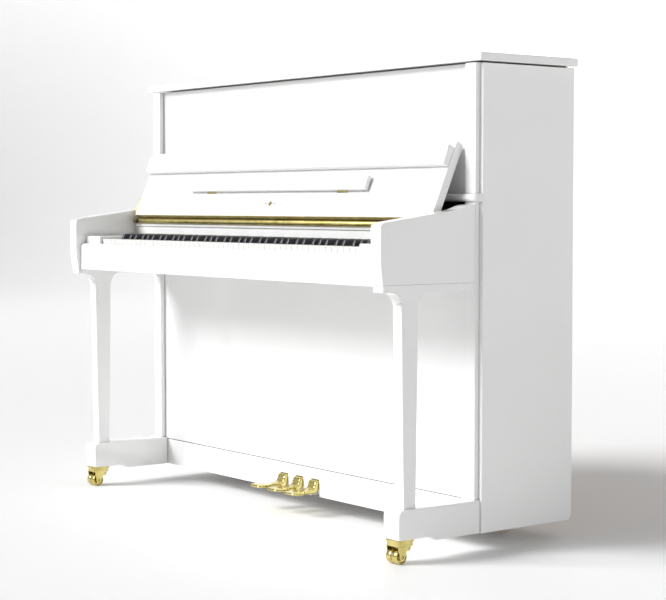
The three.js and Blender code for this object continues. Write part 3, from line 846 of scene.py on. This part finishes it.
def addBeadAndShadeBoard():
    low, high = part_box("fallboard_hinge")
    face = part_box("nameboard")[0].y
    deep, tall, gap, edge = strip["bead"]
    top = low.z - gap
    bm = bmesh.new()
    addBlock(bm, (low.x, face - deep, top - tall), (high.x, face, top), edge, 3)
    addPiece("nameboard_bead", bm, lacquer, "case")
    # painted shade: a black board behind the key opening, where there is only shade
    rail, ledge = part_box("fallboard_back_rail"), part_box("ledge_rail")
    gap, thick, drop, below = strip["shadeBoard"]
    back = ledge[1].y + gap
    bm = bmesh.new()
    addBlock(bm, (rail[0].x, back, rail[0].z - drop), (rail[1].x, back + thick, ledge[1].z - below))
    addPiece("key_opening_painted_shade", bm, shadeBlackPaint, "case")


# pedals
pedals = {
    "voxel": 0.0016,
    "rounds": 4,
    "rod": 0.004,
    "rodX": 0.070,  # of the two outer rods
    "rodSunk": 0.002,
    "rodGap": 0.0006,  # below its lever
    "collar": (0.008, 0.003),  # radius and height
}


def smoothedCopy(node, voxel, rounds):
    # the node's shape as a casting: remeshed evenly and eased
    bm = cleanCopy(node)
    mesh = bpy.data.meshes.new(node + "_blank")
    bm.to_mesh(mesh)
    bm.free()
    blank = bpy.data.objects.new(node + "_blank", mesh)
    bpy.context.scene.collection.objects.link(blank)
    remesh = blank.modifiers.new("remesh", "REMESH")
    remesh.mode = "VOXEL"
    remesh.voxel_size = voxel
    bpy.context.view_layer.update()
    bm = bmesh.new()
    bm.from_object(blank, bpy.context.evaluated_depsgraph_get())
    bpy.data.objects.remove(blank)
    axes = {"use_axis_x": True, "use_axis_y": True, "use_axis_z": True}
    for turn in range(rounds):
        bmesh.ops.smooth_vert(bm, verts=bm.verts, factor=0.5, **axes)
    return bm


def addPedals():
    radius, tall = pedals["collar"]
    profile = [(0, 0), (0, radius), (tall, radius), (tall, 0)]
    for name in ("soft", "practice", "sustain"):
        node = "pedal_" + name
        bm = smoothedCopy(node, pedals["voxel"], pedals["rounds"])
        addPiece(node + "_casting", bm, brass, node, (node,), 180)
        low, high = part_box(node)
        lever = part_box("trap_lever_" + name)
        y = (lever[0].y + lever[1].y) / 2
        x = (low.x + high.x) / 2 if name == "practice" else math.copysign(pedals["rodX"], low.x)
        bm = bmesh.new()
        top = lever[0].z - pedals["rodGap"]
        addRod(bm, (x, y, high.z - pedals["rodSunk"]), (x, y, top), pedals["rod"], 16)
        addTurned(bm, profile, (x, y, high.z), (0, 0, 1), (0, 1, 0), 16)
        addPiece(f"pedal_{name}_rod", bm, steel, node)


# casters
casters = {
    "wheelSteps": 56,
    "wheel": 0.0175,
    "inner": 0.0013,
    "outer": 0.0195,
    "axle": 0.0033,
    "axleEnd": 0.0228,
    "forkEdge": 1.3,
    "plate": 0.0052,
    "plateRim": 0.0009,
    "plateSunk": 0.0001,
    "web": ((-0.010, 0.008, 0.0365), (-0.003, 0.007, 0.031)),  # nearest, farthest, bottom
    "webRise": 0.007,
    "webInset": 0.002,
    "stem": ((0, 0), (0, 0.0085), (0.0018, 0.0085)),  # up, out
    "stemSunk": 0.0004,
}


def addCasters():
    rim, inner, outer = casters["wheel"], casters["inner"], casters["outer"]
    face = [
        (outer - 0.0008, casters["axle"]),
        (outer - 0.0008, 0.0062),
        (outer - 0.0030, 0.0078),
        (outer - 0.0030, 0.0122),
        (outer, 0.0140),
        (outer, 0.0156),
        (outer - 0.0006, 0.0167),
        (outer - 0.0022, rim),
        (inner + 0.0020, rim),
        (inner + 0.0006, 0.0168),
        (inner, 0.0156),
        (inner, 0.0080),
        (0, 0.0080),
    ]
    tip = casters["axleEnd"]
    axle = [(tip, 0), (tip, 0.0022), (tip - 0.001, casters["axle"])]
    half = axle + face
    profile = half + [(-along, radius) for along, radius in reversed(half[:-1])]
    for end in ("front", "rear"):
        for hand in ("left", "right"):
            node = f"caster_wheels_{end}_{hand}"
            low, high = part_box(node)
            bm = bmesh.new()
            addTurned(bm, profile, (low + high) / 2, steps=casters["wheelSteps"])
            addPiece(node + "_turned", bm, brass, node, (node,), 40)
            addSoftened(f"caster_fork_{end}_{hand}", casters["forkEdge"], brass)
            addHoodFittings(end, hand)


def addHoodFittings(end, hand):
    # the hood's top plate, the web that closes it behind the wheels, and the stem
    fork = f"caster_fork_{end}_{hand}"
    low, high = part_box(fork)
    x, y = jointOf[f"caster_{end}_{hand}_swivel"]["pos_m"][:2]
    back = -1 if end == "rear" else 1
    rim, inset = casters["plateRim"], casters["webInset"]
    top = high.z - casters["plateSunk"]
    bm = bmesh.new()
    corner = (low.x - rim, low.y - rim, top - casters["plate"])
    addBlock(bm, corner, (high.x + rim, high.y + rim, top), rim, 2)
    for near, far, bottom in casters["web"]:
        y0, y1 = sorted((y + back * near, y + back * far))
        addBlock(bm, (low.x + inset, y0, bottom), (high.x - inset, y1, bottom + casters["webRise"]))
    addPiece(f"caster_hood_{end}_{hand}", bm, brass, fork)
    bm = bmesh.new()
    addTurned(bm, casters["stem"], (x, y, high.z - casters["stemSunk"]), (0, 0, 1), (0, 1, 0), 24)
    addPiece(f"caster_stem_{end}_{hand}", bm, steel, "case")


# harp and action, seen when the lid is up
harp = {
    "headFront": 0.014,  # from the plate's front to the face of its head
    "edge": 2.5,
    "pins": 216,
    "rows": 3,
    "pinEnds": 0.05,  # from the plate's ends
    "pinLow": 0.018,  # from the pin block's lower edge
    "pinSpread": 0.03,  # what the rows leave free of the block's height
    "pinRadius": 0.0034,
    "pinTaper": 0.85,
    "pinReach": 0.026,
    "struts": (-0.560, -0.330, -0.060, 0.220, 0.480),
    "strutHalf": 0.012,
    "wire": 0.0006,
    "bassWire": 0.0013,
    "bassShare": 0.2,
    "wireOut": 0.006,
    "wireFoot": 0.09,
}
bar = {
    "ends": 0.03,
    "depth": (0.009, 0.0005),  # front and back, out from the head
    "low": 1.046,
    "high": 1.056,
    "edge": 0.003,
    "bolts": 14,
    "boltEnds": 0.06,
    "boltDepth": (0.0125, 0.008),
    "boltRadius": (0.0045, 0.0052),
}


def addHarp():
    low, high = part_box("iron_plate")
    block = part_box("pin_block")
    face = low.y + harp["headFront"]
    pins, wires, wound = bmesh.new(), bmesh.new(), bmesh.new()
    width = high.x - low.x - 2 * harp["pinEnds"]
    rise = block[1].z - block[0].z - harp["pinSpread"]
    radius = harp["pinRadius"]
    for i in range(harp["pins"]):
        x = low.x + harp["pinEnds"] + width * i / (harp["pins"] - 1)
        z = block[0].z + harp["pinLow"] + rise * (i % harp["rows"]) / (harp["rows"] - 1)
        addRod(pins, (x, face - harp["pinReach"], z), (x, face, z), radius * harp["pinTaper"], 7, radius)
        if min(abs(x - strut) for strut in harp["struts"]) > harp["strutHalf"]:
            bass = i < harp["pins"] * harp["bassShare"]
            front = face - harp["wireOut"]
            foot = (x, front, low.z + harp["wireFoot"])
            addRod(wound if bass else wires, foot, (x, front, z), harp["bassWire" if bass else "wire"], 3)
    addPiece("tuning_pins", pins, steel, "case")
    addPiece("treble_wires", wires, steel, "case")
    addPiece("bass_wires", wound, copper, "case")
    addSoftened("iron_plate", harp["edge"], iron, 2)
    addPressureBar(low, high, face)


def addPressureBar(low, high, face):
    front, back = [face - out for out in bar["depth"]]
    boltFront, boltBack = [face - out for out in bar["boltDepth"]]
    bm = bmesh.new()
    corner = (low.x + bar["ends"], front, bar["low"])
    addBlock(bm, corner, (high.x - bar["ends"], back, bar["high"]), bar["edge"])
    mid = (bar["low"] + bar["high"]) / 2
    width = high.x - low.x - 2 * bar["boltEnds"]
    tip, base = bar["boltRadius"]
    for i in range(bar["bolts"]):
        x = low.x + bar["boltEnds"] + width * i / (bar["bolts"] - 1)
        addRod(bm, (x, boltFront, mid), (x, boltBack, mid), tip, 12, base)
    addPiece("pressure_bar", bm, steel, "case")


hammer = {
    "spread": 1.02,  # the hammers stand a little wider than the keys
    "half": 0.0046,
    "woodShare": 0.85,
    "drop": 0.022,  # from the row's top to the middle of a head
    "felt": ((0.034, 0.013), (0.012, 0.011), (0.001, 0.003)),  # back from the nose, out from the middle
    "wood": ((0.034, 0.010), (0.018, 0)),
    "tail": 0.006,
    "shank": (0.008, 0.014, 0.905, 0.0028),  # top and foot behind the tail, foot's height, radius
    "butt": (0.0045, (0.004, 0.880), (0.026, 0.908)),  # half its width, and two corners seen from the side
    "buttEdge": 0.001,
}
damper = {
    "last": 0.45,  # no dampers above this place
    "felt": (0.0045, (0.1335, 0.955), (0.1405, 0.985)),
    "head": (0.0040, (0.1225, 0.950), (0.1335, 0.980)),
    "edge": 0.001,
    "wire": ((0.128, 0.952), (0.126, 0.890), 0.0011),
}


def addCell(bm, x, cell, edge, start=0):
    # a small block centred across x
    half, (y0, z0), (y1, z1) = cell
    addBlock(bm, (x - half, start + y0, z0), (x + half, start + y1, z1), edge, 1)


def addHammers():
    low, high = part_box("hammer_row")
    heads, woods, felts, stocks = [bmesh.new() for part in range(4)]
    places = [(key["x0"] + key["x1"]) / 2 for key in keyList]
    places += [key["sharp"] for key in keyList if key["sharp"] is not None]
    nose, tail, mid = high.y, low.y, high.z - hammer["drop"]
    half, slim = hammer["half"], hammer["half"] * hammer["woodShare"]
    under = [(nose - back, mid - out) for back, out in hammer["felt"]]
    over = [(nose - back, mid + out) for back, out in reversed(hammer["felt"])]
    neck, tip = hammer["wood"]
    core = [(tail, mid - hammer["tail"]), (nose - neck[0], mid - neck[1]), (nose - tip[0], mid)]
    core += [(nose - neck[0], mid + neck[1]), (tail, mid + hammer["tail"])]
    top, foot, footZ, shank = hammer["shank"]
    for place in sorted(places):
        x = place * hammer["spread"]
        addSlab(heads, under + over, x - half, x + half)
        addSlab(woods, core, x - slim, x + slim)
        addRod(woods, (x, tail + top, mid), (x, tail + foot, footZ), shank, 6)
        addCell(woods, x, hammer["butt"], hammer["buttEdge"], tail)
        if x < damper["last"]:
            addCell(felts, x, damper["felt"], damper["edge"])
            addCell(stocks, x, damper["head"], damper["edge"])
            start, end, wire = damper["wire"]
            addRod(stocks, (x, *start), (x, *end), wire, 4)
    addPiece("hammer_felts", heads, whiteFelt, "case", ("hammer_row",))
    addPiece("hammer_woods", woods, maple, "case")
    addPiece("damper_felts", felts, redFelt, "case")
    addPiece("damper_heads", stocks, maple, "case")


# screws and small fittings on the back
screws = {
    "leafEdge": 0.4,
    "leafScrews": 18,
    "leafEnds": 0.03,
    "leafPlace": (0.002, 0.014),  # in from the leaf's front face, up from its lower edge
    "leafRadius": 0.0036,
    "sunk": 0.0002,
    "bolts": (0.36, 0.52),
    "boltUp": 0.05,
    "boltRadius": 0.008,
    "postScrews": (0.605, 0.635),
    "postHeights": (0.30, 0.55, 0.80, 1.03),
    "postRadius": 0.0045,
}


def addScrew(bm, place, radius):
    # a domed head on a rear face
    profile = [(0, 0), (0, radius), (0.0006, radius), (0.0016, radius * 0.7), (0.0019, 0)]
    away = Vector((0, 1, 0))
    addTurned(bm, profile, place, away, away.orthogonal().normalized(), 12)


def addBackFittings():
    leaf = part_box("lid_hinge")
    out, up = screws["leafPlace"]
    width = leaf[1].x - leaf[0].x - 2 * screws["leafEnds"]
    bm = bmesh.new()
    for i in range(screws["leafScrews"]):
        x = leaf[0].x + screws["leafEnds"] + width * i / (screws["leafScrews"] - 1)
        addScrew(bm, (x, leaf[0].y + out, leaf[0].z + up), screws["leafRadius"])
    addPiece("lid_hinge_screws", bm, brass, "case")
    addSoftened("lid_hinge", screws["leafEdge"], brushedBrass, 1)
    low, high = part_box("back_frame")
    face = high.y - screws["sunk"]
    bm = bmesh.new()
    for side in (-1, 1):
        for x in screws["bolts"]:
            addScrew(bm, (side * x, face, low.z + screws["boltUp"]), screws["boltRadius"])
        for z in screws["postHeights"]:
            for x in screws["postScrews"]:
                addScrew(bm, (side * x, face, z), screws["postRadius"])
    addPiece("back_screws", bm, steel, "case")


# build
addCamera()
addStudio()
addFloor(makeFloorGlowAndShade())
addPanels()
print("panels done")
addKeyboard()
print("keyboard done")
addFallboardFittings()
addFlapHinges()
addOrnament()
addHingeStrip()
addBeadAndShadeBoard()
print("fallboard fittings done")
addPedals()
addCasters()
print("pedals and casters done")
addHarp()
addHammers()
addBackFittings()
print("harp, action and back done")
